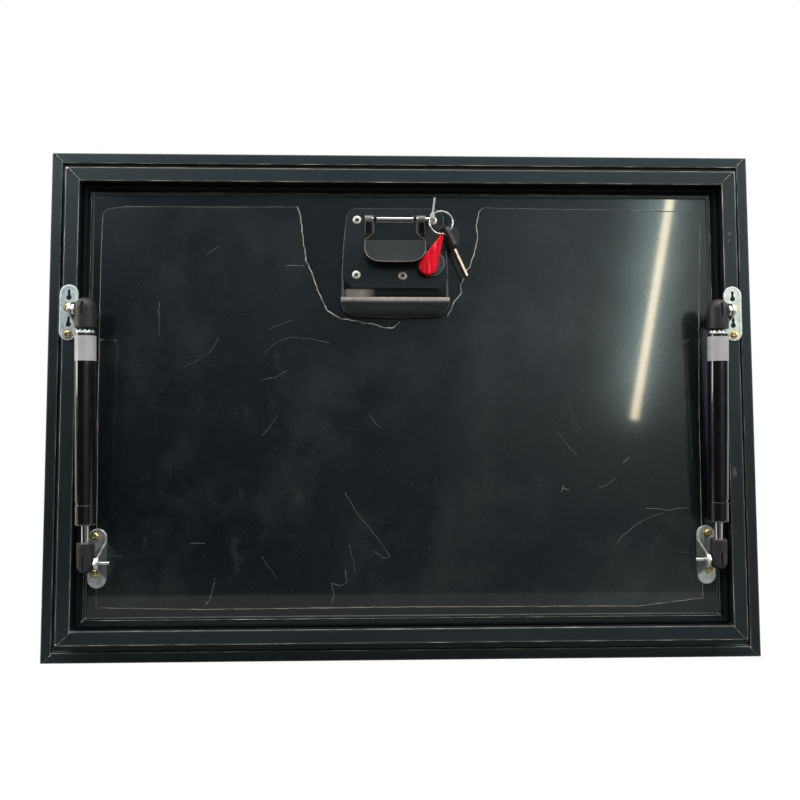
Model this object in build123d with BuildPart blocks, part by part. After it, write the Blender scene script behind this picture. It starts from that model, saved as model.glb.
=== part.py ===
from build123d import *
from math import atan2, cos, degrees, hypot, radians, sin
import os

# Cargo hatch door of a camper, in millimetres.
# A mitred frame, a hinged leaf, a paddle lock and two gas struts.
# X runs along the width and Z from the hinge edge up to the lock edge.
# Y runs from the inside of the vehicle (negative) to the outside (positive).
# The flange seats on the vehicle's outer wall in the plane Y = 0, and Z = 0 is the frame's lower edge.

os.makedirs("parts", exist_ok=True)

# Frame extrusion, measured inwards from the outer edge
frame_width = 700
frame_height = 500
lip_width = 10
groove_width = 11
groove_depth = 4
barrel_width = 13.5
barrel_depth = 20
front_height = 16
edge_thickness = 6
frame_wall = 2
frame_edge_radius = 1.2
mitre_gap = 0.1

# Leaf, set back inside the frame's barrel
leaf_gap = 3.5
panel_setback = 17.5
rim_width = 6
rim_rise = 1.5
rim_radius = 1.2
panel_thickness = 2
panel_clearance = 0.2
skin_thickness = 2
skin_corner_radius = 3
skin_edge_radius = 0.8
leaf_rail_width = 22
leaf_rail_wall = 2

# Rubber seal on the barrel's inner wall, behind the leaf's rim
seal_overlap = 1.5
seal_thickness = 6.5
seal_radius = 2
seal_bore_radius = 1.6
seal_clearance = 0.5

# Continuous hinge on the outside of the lower edge
hinge_length = 600
hinge_knuckles = 13
hinge_knuckle_radius = 3.5
hinge_knuckle_gap = 0.4
hinge_pin_radius = 1.5
hinge_plate_width = 14
hinge_plate_thickness = 1.5
running_clearance = 0.05

# Gas struts, given by the two ball centres
strut_inset = 49
upper_ball_y = -36
upper_ball_drop = 164
lower_ball_y = -22
lower_ball_z = 98
tube_radius = 9.5
tube_wall = 1.5
tube_guide_length = 12
tube_start = 36
tube_end_gap = 21.5
tube_groove_offset = 19.5
tube_groove_width = 2.2
tube_groove_depth = 0.7
tube_roll_radius = 1.5
stub_radius = 4
crimp_radius = 7
crimp_length = 2.4
rod_radius = 4
rod_inner_end = 124
piston_length = 8
piston_clearance = 0.1

# Ball joints of the struts
ball_radius = 5
socket_clearance = 0.1
neck_radius = 3
neck_clearance = 1
collar_radius = 5.5
collar_length = 2.5
open_pivot_gap = 0.3
stud_shank_radius = 1.8
stud_shank_length = 9
stud_hole_clearance = 0.1
upper_fitting_radius = 9.8
upper_fitting_length = 17.5
lower_fitting_radius = 8
lower_fitting_length = 20
fitting_dome_start = 1.8
fitting_chamfer = 1
clip_slot_width = 2.8
clip_slot_length = 14
clip_slot_depth = 2.4

# Strut brackets
bracket_thickness = 2
upper_plate_width = 17.5
upper_plate_length = 54
lower_plate_width = 18
lower_plate_length = 57
bracket_edge_radius = 0.7
bracket_border = 2.3
bracket_dish_depth = 0.4
bracket_rim_gap = 0.3
lower_plate_rise = 2
ear_tip_radius = 7
upper_ear_base = 22
lower_ear_base = 34
keyhole_radius = 2.6
keyhole_slot_width = 2.8
keyhole_slot_length = 8
keyhole_pitch = 26
keyhole_offset = 1.5
rivet_head_radius = 4.5
rivet_head_length = 1.8
rivet_head_taper = 20

# Paddle lock on the inner panel
lock_x = -9
lock_drop = 18.2
lock_width = 105.6
lock_top_width = 95
lock_height = 110
lock_side_bulge = 2
lock_bottom_bulge = 2
lock_thickness = 5.5
lock_corner_radius = 11
lock_bottom_radius = 14
lock_edge_radius = 1
hood_height = 18
hood_rise = 13
hood_lip_radius = 4
hood_wall = 2.8
hood_bulge_set_back = 3.25
hood_bulge_height = 9
pocket_floor_height = 9
pocket_lip_height = 6
pocket_side_wall = 1.6
pocket_slope_height = 12
pocket_floor = 1.5
pocket_end_width = 8.5
pocket_end_rise = 9.5

# Paddle and its hinge pin
paddle_pin_drop = 12.8
paddle_pin_height = 6
paddle_pin_radius = 1.8
paddle_knuckle_radius = 3.4
paddle_knuckle_length = 3.5
paddle_neck_width = 42.6
paddle_width = 60
paddle_shoulder_drop = 13.6
paddle_flare_drop = 21.5
paddle_bend_drop = 22.3
paddle_drop = 45.6
paddle_bottom_bulge = 1.6
paddle_reach = 11
paddle_thickness = 2.6
paddle_corner_radius = 15
ear_gap = 1.2
lock_ear_width = 7
lock_ear_height = 18
lock_ear_radius = 3.6
paddle_pin_overhang = 9.3

# Lock cylinder
cylinder_offset = 36.2
cylinder_rise = 53.8
bezel_radius = 13.5
bezel_rise = 2.5
bezel_taper = 15
cylinder_radius = 9.5
cylinder_clearance = 0.1
plug_radius = 6.5
plug_setback = 0.8
key_slot_length = 8
key_slot_width = 1.7
key_slot_depth = 4

# Key ring, tie, tag and keys
ring_radius = 11.3
ring_wire = 0.9
ring_gap = 0.9
tie_radius = 5.6
tie_reach = 2.5
ring_hold = 2.2
tie_wire = 0.7
tie_head = 4.6
tie_head_depth = 3.4
tie_tail_length = 19
tie_tail_width = 1.8
tie_tail_lean = 7
tie_tail_thickness = 1
tag_drop = 36.7
tag_swing = 13
tag_top_radius = 2.4
tag_bottom_radius = 9.2
tag_thickness = 5.2
tag_edge_radius = 1.9
eyelet_radius = 2.2
eyelet_wire = 0.6
key_angle = 24
key_turn = 20
key_thickness = 2.2
key_bow_thickness = 3.8
key_bow_length = 24
key_bow_width = 14
key_bow_radius = 5
key_hole_radius = 2.4
key_blade_length = 29
key_blade_width = 6.4
key_edge_margin = 3.2
key_notch_radius = 1.1
key_notch_pitch = 4.6
key_notches = 5
flat_key_offset = 46.8
flat_key_drop = 30
flat_key_width = 33
flat_key_height = 24
flat_key_thickness = 1.5
flat_key_radius = 9
flat_key_clearance = 0.3
flat_key_hole_radius = 3

# Places that follow from the sizes
barrel_inset = lip_width + groove_width
opening_inset = barrel_inset + barrel_width
leaf_inset = opening_inset + leaf_gap
leaf_width = frame_width - 2 * leaf_inset
leaf_height = frame_height - 2 * leaf_inset
middle_z = frame_height / 2
panel_face = panel_setback - barrel_depth
panel_back = panel_face + panel_thickness
rim_face = panel_face - rim_rise
skin_back = front_height - skin_thickness
hinge_y = front_height + hinge_knuckle_radius
hinge_z = opening_inset + leaf_gap / 2
strut_x = frame_width / 2 - strut_inset
upper_ball_z = frame_height - upper_ball_drop
strut_length = hypot(upper_ball_y - lower_ball_y, upper_ball_z - lower_ball_z)
strut_direction = (0, upper_ball_y - lower_ball_y, upper_ball_z - lower_ball_z)
upper_plate_x = frame_width / 2 - barrel_inset - barrel_width / 2
lower_plate_x = leaf_width / 2 - rim_width - bracket_rim_gap - lower_plate_width / 2
lock_face = panel_face - lock_thickness
lock_top = frame_height - leaf_inset - lock_drop
lock_bottom = lock_top - lock_height
lock_z = lock_top - lock_height / 2
hood_top = lock_bottom + hood_height
hood_face = lock_face - hood_rise
paddle_pin_y = lock_face - paddle_pin_height
paddle_pin_z = lock_top - paddle_pin_drop
ear_start = paddle_neck_width / 2 + ear_gap
cylinder_x = lock_x + cylinder_offset
cylinder_z = lock_bottom + cylinder_rise
flat_key_x = lock_x + flat_key_offset
flat_key_z = lock_top - flat_key_drop
pin_end = lock_x + ear_start + lock_ear_width + paddle_pin_overhang
ring_y = paddle_pin_y - paddle_pin_radius - ring_wire - ring_gap
tie_x = pin_end - tie_reach
ring_x = tie_x + ring_radius - ring_hold
ring_z = paddle_pin_z - ring_radius * sin(radians(key_angle))


def front_plane(x, y, z):
    """Plane that faces the inside of the vehicle: sketch X is X, sketch Y is Z."""
    return Plane(origin=(x, y, z), x_dir=(1, 0, 0), z_dir=(0, -1, 0))


def side_plane(x, y=0, z=0):
    """Plane across the width: sketch X is Y, sketch Y is Z, and it extrudes towards +X."""
    return Plane(origin=(x, y, z), x_dir=(0, 1, 0), z_dir=(1, 0, 0))


def save(piece, name):
    """Label a finished piece and write it to its own file."""
    piece.label = name
    export_step(piece, f"parts/{name}.step")


# The four sides of the frame: middle of the outer edge, inward direction, length
frame_sides = {
    "bottom": (Vector(0, 0, 0), Vector(0, 0, 1), frame_width),
    "top": (Vector(0, 0, frame_height), Vector(0, 0, -1), frame_width),
    "left": (Vector(-frame_width / 2, 0, middle_z), Vector(1, 0, 0), frame_height),
    "right": (Vector(frame_width / 2, 0, middle_z), Vector(-1, 0, 0), frame_height),
}


def mitred_strip(side, section):
    """Extrude a section along one side of the frame and mitre both its ends at 45 degrees."""
    middle, inward, length = frame_sides[side]
    along = inward.cross(Vector(0, 1, 0))
    with BuildPart() as strip:
        with BuildSketch(Plane(origin=middle, x_dir=inward, z_dir=along)):
            add(section)
        extrude(amount=length / 2, both=True)
        for end in (along, along * -1):
            mitre_origin = middle + end * (length / 2 - mitre_gap)
            split(bisect_by=Plane(origin=mitre_origin, z_dir=(inward + end) * -1))
    return strip.part


# Section of a frame rail: flange lip, sealant groove and hollow barrel, with a sloping outer face
with BuildSketch() as frame_section:
    with BuildLine():
        Polyline(
            (0, 0),
            (lip_width, 0),
            (lip_width, groove_depth),
            (barrel_inset, groove_depth),
            (barrel_inset, -barrel_depth),
            (opening_inset, -barrel_depth),
            (opening_inset, front_height),
            (barrel_inset, front_height),
            (0, edge_thickness),
            close=True,
        )
    make_face()
    fillet(frame_section.vertices().group_by(Axis.X)[1:], frame_edge_radius)
    with Locations((barrel_inset + barrel_width / 2, (front_height - barrel_depth) / 2)):
        Rectangle(
            barrel_width - 2 * frame_wall,
            front_height + barrel_depth - 2 * frame_wall,
            mode=Mode.SUBTRACT,
        )

# Section of the seal: a hollow bulb that bridges the gap between the barrel and the leaf's rim
with BuildSketch() as seal_section:
    seal_width = leaf_gap + seal_overlap
    with Locations((opening_inset + seal_width / 2, rim_face - seal_clearance - seal_thickness / 2)):
        RectangleRounded(seal_width, seal_thickness, seal_radius)
        Circle(seal_bore_radius, mode=Mode.SUBTRACT)

# Section of a leaf rail: hollow, with a raised rim and a seat for the inner panel
with BuildSketch() as leaf_rail_section:
    with BuildLine():
        Polyline(
            (leaf_inset, rim_face),
            (leaf_inset + rim_width, rim_face),
            (leaf_inset + rim_width, panel_back),
            (leaf_inset + leaf_rail_width, panel_back),
            (leaf_inset + leaf_rail_width, skin_back),
            (leaf_inset, skin_back),
            close=True,
        )
    make_face()
    fillet(leaf_rail_section.vertices().group_by(Axis.Y)[0], rim_radius)
    with Locations((leaf_inset + leaf_rail_width / 2, (panel_back + skin_back) / 2)):
        Rectangle(
            leaf_rail_width - 2 * leaf_rail_wall,
            skin_back - panel_back - 2 * leaf_rail_wall,
            mode=Mode.SUBTRACT,
        )

# Frame rails, seals and leaf rails, one of each a side
for side in frame_sides:
    save(mitred_strip(side, frame_section.sketch), f"frame_{side}_rail")
    save(mitred_strip(side, seal_section.sketch), f"seal_{side}")
    save(mitred_strip(side, leaf_rail_section.sketch), f"leaf_{side}_rail")

# Outer skin of the leaf, over the ends of the four rails
with BuildPart() as leaf_outer_skin:
    with BuildSketch(front_plane(0, front_height, middle_z)):
        RectangleRounded(leaf_width, leaf_height, skin_corner_radius)
    extrude(amount=skin_thickness)
    fillet(leaf_outer_skin.faces().sort_by(Axis.Y)[-1].edges(), skin_edge_radius)
save(leaf_outer_skin.part, "leaf_outer_skin")

# Inner panel, let in between the rims of the four rails
with BuildPart() as leaf_inner_panel:
    panel_margin = 2 * (rim_width + panel_clearance)
    with BuildSketch(front_plane(0, panel_back, middle_z)):
        Rectangle(leaf_width - panel_margin, leaf_height - panel_margin)
    extrude(amount=panel_thickness)
save(leaf_inner_panel.part, "leaf_inner_panel")

# Continuous hinge: the two plates take turns at the knuckles round one pin
knuckle_pitch = hinge_length / hinge_knuckles
knuckle_length = knuckle_pitch - hinge_knuckle_gap
plate_setback = hinge_knuckle_radius + hinge_knuckle_gap
hinge_centre = front_plane(0, front_height, hinge_z)


def hinge_plate(direction, first_knuckle):
    """Hinge plate on the frame (direction -1) or on the leaf (direction 1), with every second knuckle."""
    knuckle_places = [
        -hinge_length / 2 + (index + 0.5) * knuckle_pitch
        for index in range(first_knuckle, hinge_knuckles, 2)
    ]
    with BuildPart() as plate:
        with BuildSketch(hinge_centre):
            with Locations((0, direction * (plate_setback + hinge_plate_width) / 2)):
                Rectangle(hinge_length, hinge_plate_width - plate_setback)
            with Locations(*[(place, direction * plate_setback / 2) for place in knuckle_places]):
                Rectangle(knuckle_length, plate_setback)
        extrude(amount=-hinge_plate_thickness)
        for place in knuckle_places:
            with BuildSketch(side_plane(place, hinge_y, hinge_z)):
                Circle(hinge_knuckle_radius)
            extrude(amount=knuckle_length / 2, both=True)
        with BuildSketch(side_plane(0, hinge_y, hinge_z)):
            Circle(hinge_pin_radius + running_clearance)
        extrude(amount=hinge_length / 2, both=True, mode=Mode.SUBTRACT)
    return plate.part


save(hinge_plate(-1, 0), "hinge_frame_plate")
save(hinge_plate(1, 1), "hinge_leaf_plate")

with BuildPart() as hinge_pin:
    with BuildSketch(side_plane(0, hinge_y, hinge_z)):
        Circle(hinge_pin_radius)
    extrude(amount=hinge_length / 2, both=True)
save(hinge_pin.part, "hinge_pin")


def strut_plane(x, distance):
    """Plane across the strut's axis, at a distance from the lower ball towards the upper ball."""
    lower_ball = Vector(x, lower_ball_y, lower_ball_z)
    return Plane(origin=lower_ball, x_dir=(1, 0, 0), z_dir=strut_direction).offset(distance)


def stud_plane(x, inward, ball_y, ball_z):
    """Plane through a ball's centre and the stud's axis: sketch X runs along the stud towards its ear."""
    return Plane(origin=(x, ball_y, ball_z), x_dir=(inward, 0, 0), z_dir=(0, -inward, 0))


def strut_end(x, inward, ball_y, ball_z, outward, radius, length):
    """Plastic end fitting: a shank with a domed end, a ball socket from one side and a slot for its clip."""
    socket_radius = ball_radius + socket_clearance
    mouth_radius = neck_radius + neck_clearance
    mouth_start = (socket_radius**2 - mouth_radius**2) ** 0.5
    ball_place = Vector(x, ball_y, ball_z)
    shank_axis = Vector(*strut_direction).normalized() * outward
    with BuildPart() as fitting:
        sketch_normal = Vector(1, 0, 0).cross(shank_axis)
        with BuildSketch(Plane(origin=ball_place, x_dir=(1, 0, 0), z_dir=sketch_normal)):
            with BuildLine():
                Polyline(
                    (0, -length),
                    (radius - fitting_chamfer, -length),
                    (radius, fitting_chamfer - length),
                    (radius, fitting_dome_start),
                )
                dome = CenterArc((0, fitting_dome_start), radius, 0, 90)
                Line(dome @ 1, (0, -length))
            make_face()
        revolve(axis=Axis(ball_place, shank_axis))
        with BuildSketch(stud_plane(x, inward, ball_y, ball_z)):
            with BuildLine():
                ThreePointArc((-socket_radius, 0), (0, socket_radius), (mouth_start, mouth_radius))
                Polyline((mouth_start, mouth_radius), (2 * radius, mouth_radius), (2 * radius, 0))
                Line((2 * radius, 0), (-socket_radius, 0))
            make_face()
        revolve(axis=Axis((x, ball_y, ball_z), (1, 0, 0)), mode=Mode.SUBTRACT)
        with BuildSketch(front_plane(x, ball_y - radius + clip_slot_depth, ball_z)):
            SlotOverall(clip_slot_length, clip_slot_width, rotation=90)
        extrude(amount=radius, mode=Mode.SUBTRACT)
    return fitting.part


def ball_stud(x, inward, ball_y, ball_z, collar_face, shank_length):
    """Ball on a neck with a hexagonal collar that seats on the ear, and a shank through the ear."""
    neck_start = (ball_radius**2 - neck_radius**2) ** 0.5
    collar_reach = abs(collar_face - x)
    with BuildPart() as stud:
        with BuildSketch(stud_plane(x, inward, ball_y, ball_z)):
            with BuildLine():
                ThreePointArc((-ball_radius, 0), (0, ball_radius), (neck_start, neck_radius))
                Polyline((neck_start, neck_radius), (collar_reach, neck_radius), (collar_reach, 0))
                Line((collar_reach, 0), (-ball_radius, 0))
            make_face()
        revolve(axis=Axis((x, ball_y, ball_z), (1, 0, 0)))
        with BuildSketch(side_plane(collar_face, ball_y, ball_z)):
            RegularPolygon(collar_radius, 6)
        extrude(amount=-inward * collar_length)
        if shank_length:
            with BuildSketch(side_plane(collar_face, ball_y, ball_z)):
                Circle(stud_shank_radius)
            extrude(amount=inward * shank_length)
    return stud.part


def strut_bracket(plate, ear_x, outward, ball_y, ball_z, ear_base, has_keyholes):
    """Zinc bracket: an obround plate on its seat and an ear bent up from one long edge."""
    plate_x, seat_y, plate_z, width, length = plate
    plate_top = seat_y - bracket_thickness
    with BuildPart() as bracket:
        with BuildSketch(front_plane(plate_x, seat_y, plate_z)):
            SlotOverall(length, width, rotation=90)
        extrude(amount=bracket_thickness)
        fillet(bracket.faces().sort_by(Axis.Y)[0].edges(), bracket_edge_radius)
        with BuildSketch(front_plane(plate_x, plate_top, plate_z)):
            SlotOverall(length - 2 * bracket_border, width - 2 * bracket_border, rotation=90)
        extrude(amount=-bracket_dish_depth, mode=Mode.SUBTRACT)
        with BuildSketch(side_plane(ear_x)):
            with Locations((ball_y, ball_z)):
                Circle(ear_tip_radius)
            with Locations(((seat_y + plate_top) / 2, ball_z)):
                Rectangle(bracket_thickness, ear_base)
            make_hull()
        extrude(amount=outward * bracket_thickness)
        if has_keyholes:
            for keyhole_z in (plate_z + keyhole_offset, plate_z + keyhole_offset + keyhole_pitch):
                with BuildSketch(front_plane(plate_x, seat_y, keyhole_z - keyhole_pitch / 2)):
                    Circle(keyhole_radius)
                    with Locations((0, keyhole_slot_length / 2)):
                        SlotOverall(keyhole_slot_length, keyhole_slot_width, rotation=90)
                extrude(amount=bracket_thickness, mode=Mode.SUBTRACT)
            with BuildSketch(side_plane(ear_x + outward * bracket_thickness, ball_y, ball_z)):
                Circle(rivet_head_radius)
            extrude(amount=outward * rivet_head_length, taper=rivet_head_taper)
        else:
            with BuildSketch(side_plane(ear_x, ball_y, ball_z)):
                Circle(stud_shank_radius + stud_hole_clearance)
            extrude(amount=outward * bracket_thickness, mode=Mode.SUBTRACT)
    return bracket.part


# Gas struts: brackets, ball studs, end fittings, tube and rod on each side
for side, sign in (("left", -1), ("right", 1)):
    x = sign * strut_x
    upper_ear_x = sign * (upper_plate_x - upper_plate_width / 2)
    lower_ear_x = sign * (lower_plate_x - lower_plate_width / 2 + bracket_thickness)
    upper_plate = (sign * upper_plate_x, -barrel_depth, upper_ball_z, upper_plate_width, upper_plate_length)
    lower_plate_z = lower_ball_z + lower_plate_rise
    lower_plate = (sign * lower_plate_x, panel_face, lower_plate_z, lower_plate_width, lower_plate_length)

    bracket = strut_bracket(upper_plate, upper_ear_x, sign, upper_ball_y, upper_ball_z, upper_ear_base, True)
    save(bracket, f"{side}_upper_bracket")
    bracket = strut_bracket(lower_plate, lower_ear_x, -sign, lower_ball_y, lower_ball_z, lower_ear_base, False)
    save(bracket, f"{side}_lower_bracket")

    stud = ball_stud(x, sign, upper_ball_y, upper_ball_z, upper_ear_x - sign * open_pivot_gap, 0)
    save(stud, f"{side}_upper_stud")
    stud = ball_stud(x, -sign, lower_ball_y, lower_ball_z, lower_ear_x, bracket_thickness + stud_shank_length)
    save(stud, f"{side}_lower_stud")

    fitting = strut_end(x, sign, upper_ball_y, upper_ball_z, 1, upper_fitting_radius, upper_fitting_length)
    with BuildPart() as upper_end:
        add(fitting)
        with BuildSketch(strut_plane(x, strut_length - upper_fitting_length)):
            Circle(stub_radius)
        extrude(amount=stub_radius, mode=Mode.SUBTRACT)
    save(upper_end.part, f"{side}_upper_fitting")

    fitting = strut_end(x, -sign, lower_ball_y, lower_ball_z, -1, lower_fitting_radius, lower_fitting_length)
    rod_seat = lower_fitting_length - rod_radius
    with BuildPart() as lower_end:
        add(fitting)
        with BuildSketch(strut_plane(x, rod_seat)):
            Circle(rod_radius)
        extrude(amount=rod_radius, mode=Mode.SUBTRACT)
    save(lower_end.part, f"{side}_lower_fitting")

    tube_end = strut_length - tube_end_gap
    tube_bore = tube_radius - tube_wall
    with BuildPart() as tube:
        with BuildSketch(strut_plane(x, tube_start)):
            Circle(tube_radius)
        extrude(amount=tube_end - tube_start)
        fillet(tube.edges(), tube_roll_radius)
        with BuildSketch(strut_plane(x, tube_start + tube_groove_offset)):
            Circle(tube_radius)
            Circle(tube_radius - tube_groove_depth, mode=Mode.SUBTRACT)
        extrude(amount=tube_groove_width, mode=Mode.SUBTRACT)
        with BuildSketch(strut_plane(x, tube_start + tube_guide_length)):
            Circle(tube_bore)
        extrude(amount=tube_end - tube_start - tube_guide_length - tube_wall, mode=Mode.SUBTRACT)
        with BuildSketch(strut_plane(x, tube_start)):
            Circle(rod_radius + running_clearance)
        extrude(amount=tube_guide_length, mode=Mode.SUBTRACT)
        with BuildSketch(strut_plane(x, tube_end)):
            Circle(stub_radius)
        extrude(amount=tube_end_gap - upper_fitting_length + stub_radius)
        with BuildSketch(strut_plane(x, tube_end)):
            Circle(crimp_radius)
        extrude(amount=crimp_length)
    save(tube.part, f"{side}_tube")

    with BuildPart() as rod:
        with BuildSketch(strut_plane(x, rod_seat)):
            Circle(rod_radius)
        extrude(amount=rod_inner_end - rod_seat)
        with BuildSketch(strut_plane(x, rod_inner_end)):
            Circle(tube_bore - piston_clearance)
        extrude(amount=piston_length)
    save(rod.part, f"{side}_rod")

# Outline of the lock plate: wider at the hood, with bowed sides and a bowed lower edge
with BuildSketch() as lock_outline:
    with BuildLine():
        top_corner = (lock_top_width / 2, lock_height / 2)
        low_corner = (lock_width / 2, lock_bottom_bulge - lock_height / 2)
        side_middle = ((lock_top_width + lock_width) / 4 + lock_side_bulge, 0)
        Line((-top_corner[0], top_corner[1]), top_corner)
        ThreePointArc(top_corner, side_middle, low_corner)
        ThreePointArc(low_corner, (0, -lock_height / 2), (-low_corner[0], low_corner[1]))
        ThreePointArc((-low_corner[0], low_corner[1]), (-side_middle[0], 0), (-top_corner[0], top_corner[1]))
    make_face()
    fillet(lock_outline.vertices().group_by(Axis.Y)[-1], lock_corner_radius)
    fillet(lock_outline.vertices().group_by(Axis.Y)[0], lock_bottom_radius)


def pocket_end(direction):
    """Sloping end of the finger pocket, from the plate's face at its side down to the pocket's floor."""
    outer_x = lock_x + direction * (lock_width / 2 - pocket_side_wall)
    inner_x = outer_x - direction * pocket_end_width
    slope_top = hood_top + pocket_slope_height
    high_point = Vector(outer_x, lock_face, slope_top + pocket_end_rise)
    near_point = Vector(inner_x, lock_face, slope_top)
    deep_point = Vector(outer_x, panel_face - pocket_floor, hood_top)
    slope = (near_point - high_point).cross(deep_point - high_point).normalized()
    slope = slope if slope.Y < 0 else slope * -1
    with BuildPart() as cut:
        with Locations(((outer_x + inner_x) / 2, lock_face, slope_top)):
            Box(pocket_end_width, 2 * lock_thickness, 2 * pocket_slope_height)
        split(bisect_by=Plane(origin=high_point, z_dir=slope))
    return cut.part


# Lock plate: a cast plate with a finger pocket behind a raised hood, and two ears for the paddle's pin
with BuildPart() as lock_plate:
    with BuildSketch(front_plane(lock_x, panel_face, lock_z)):
        add(lock_outline.sketch)
    extrude(amount=lock_thickness)
    fillet(lock_plate.faces().sort_by(Axis.Y)[0].edges(), lock_edge_radius)
    with BuildSketch(side_plane(lock_x)):
        with BuildLine():
            bulge = Spline(
                (lock_face, lock_bottom),
                (hood_face + hood_bulge_set_back, lock_bottom + hood_bulge_height),
                (hood_face, hood_top - hood_lip_radius),
            )
            Polyline(bulge @ 1, (hood_face, hood_top), (lock_face, hood_top), bulge @ 0)
        make_face()
    extrude(amount=lock_width / 2, both=True)
    with BuildSketch(front_plane(lock_x, panel_face, lock_z)):
        add(lock_outline.sketch)
    extrude(amount=lock_thickness + hood_rise, mode=Mode.INTERSECT)
    fillet(lock_plate.edges().filter_by(Axis.X).sort_by(Axis.Y)[0], hood_lip_radius)
    pocket_bottom = panel_face - pocket_floor
    pocket_width = lock_width - 2 * pocket_side_wall
    with BuildSketch(side_plane(lock_x)):
        with BuildLine():
            Polyline(
                (lock_face, hood_top + pocket_slope_height),
                (pocket_bottom, hood_top),
                (pocket_bottom, lock_bottom + pocket_floor_height),
                (lock_face, lock_bottom + pocket_lip_height),
                (hood_face + hood_wall, hood_top - hood_lip_radius),
                (hood_face + hood_wall, hood_top + hood_lip_radius),
                close=True,
            )
        make_face()
    extrude(amount=pocket_width / 2, both=True, mode=Mode.SUBTRACT)
    for direction in (-1, 1):
        add(pocket_end(direction), mode=Mode.SUBTRACT)
    for direction in (-1, 1):
        with BuildSketch(side_plane(lock_x + direction * ear_start)):
            with Locations((paddle_pin_y, paddle_pin_z)):
                Circle(lock_ear_radius)
            ear_middle_z = paddle_pin_z + lock_ear_radius - lock_ear_height / 2
            with Locations((lock_face - lock_ear_radius / 2, ear_middle_z)):
                Rectangle(lock_ear_radius, lock_ear_height)
            make_hull()
        extrude(amount=direction * lock_ear_width)
    with BuildSketch(side_plane(lock_x, paddle_pin_y, paddle_pin_z)):
        Circle(paddle_pin_radius + running_clearance)
    extrude(amount=lock_width / 2, both=True, mode=Mode.SUBTRACT)
    with BuildSketch(front_plane(cylinder_x, panel_face, cylinder_z)):
        Circle(cylinder_radius + cylinder_clearance)
    extrude(amount=lock_thickness, mode=Mode.SUBTRACT)
save(lock_plate.part, "lock_plate")

# Paddle: a bent sheet on two knuckles, narrow at the pin and flared below
paddle_bottom = paddle_pin_z - paddle_drop
with BuildPart() as lock_paddle:
    with BuildSketch(front_plane(lock_x, lock_face, paddle_pin_z)):
        with BuildLine():
            Polyline(
                (-paddle_neck_width / 2, 0),
                (-paddle_neck_width / 2, -paddle_shoulder_drop),
                (-paddle_width / 2, -paddle_flare_drop),
                (-paddle_width / 2, paddle_bottom_bulge - paddle_drop),
            )
            ThreePointArc(
                (-paddle_width / 2, paddle_bottom_bulge - paddle_drop),
                (0, -paddle_drop),
                (paddle_width / 2, paddle_bottom_bulge - paddle_drop),
            )
            Polyline(
                (paddle_width / 2, paddle_bottom_bulge - paddle_drop),
                (paddle_width / 2, -paddle_flare_drop),
                (paddle_neck_width / 2, -paddle_shoulder_drop),
                (paddle_neck_width / 2, 0),
                (-paddle_neck_width / 2, 0),
            )
        make_face()
    extrude(amount=paddle_pin_height + paddle_reach + paddle_corner_radius)
    fillet(lock_paddle.edges().filter_by(Axis.Y).group_by(Axis.Z)[0], paddle_corner_radius)
    with BuildSketch(side_plane(lock_x)):
        with BuildLine():
            bent = Polyline(
                (paddle_pin_y, paddle_pin_z),
                (paddle_pin_y, paddle_pin_z - paddle_bend_drop),
                (paddle_pin_y - paddle_reach, paddle_bottom),
            )
            offset(bent, amount=paddle_thickness / 2, side=Side.BOTH)
        make_face()
    extrude(amount=paddle_width / 2, both=True, mode=Mode.INTERSECT)
    with BuildSketch(front_plane(lock_x, lock_face, paddle_pin_z)):
        Rectangle(paddle_neck_width - 2 * paddle_knuckle_length, 2 * paddle_knuckle_radius)
    extrude(amount=2 * paddle_pin_height, mode=Mode.SUBTRACT)
    for direction in (-1, 1):
        with BuildSketch(side_plane(lock_x + direction * paddle_neck_width / 2, paddle_pin_y, paddle_pin_z)):
            Circle(paddle_knuckle_radius)
        extrude(amount=-direction * paddle_knuckle_length)
    with BuildSketch(side_plane(lock_x, paddle_pin_y, paddle_pin_z)):
        Circle(paddle_pin_radius + running_clearance)
    extrude(amount=paddle_width / 2, both=True, mode=Mode.SUBTRACT)
save(lock_paddle.part, "lock_paddle")

with BuildPart() as paddle_pin:
    with BuildSketch(side_plane(lock_x - ear_start - lock_ear_width, paddle_pin_y, paddle_pin_z)):
        Circle(paddle_pin_radius)
    extrude(amount=2 * (ear_start + lock_ear_width) + paddle_pin_overhang)
save(paddle_pin.part, "paddle_pin")

# Lock cylinder: a flanged housing in the plate and a plug with a key slot
with BuildPart() as cylinder_housing:
    with BuildSketch(front_plane(cylinder_x, lock_face, cylinder_z)):
        Circle(bezel_radius)
    extrude(amount=bezel_rise, taper=bezel_taper)
    with BuildSketch(front_plane(cylinder_x, lock_face, cylinder_z)):
        Circle(cylinder_radius)
    extrude(amount=-lock_thickness)
    with BuildSketch(front_plane(cylinder_x, panel_face, cylinder_z)):
        Circle(plug_radius + running_clearance)
    extrude(amount=lock_thickness + bezel_rise, mode=Mode.SUBTRACT)
save(cylinder_housing.part, "cylinder_housing")

with BuildPart() as cylinder_plug:
    plug_length = lock_thickness + bezel_rise - plug_setback
    with BuildSketch(front_plane(cylinder_x, panel_face, cylinder_z)):
        Circle(plug_radius)
    extrude(amount=plug_length)
    with BuildSketch(front_plane(cylinder_x, panel_face - plug_length, cylinder_z)):
        Rectangle(key_slot_width, key_slot_length)
    extrude(amount=-key_slot_depth, mode=Mode.SUBTRACT)
save(cylinder_plug.part, "cylinder_plug")

# Key ring, linked through the tie's loop round the pin's free end
with BuildPart() as key_ring:
    with Locations(Location(front_plane(ring_x, ring_y, ring_z))):
        Torus(ring_radius, ring_wire)
save(key_ring.part, "key_ring")

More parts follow.
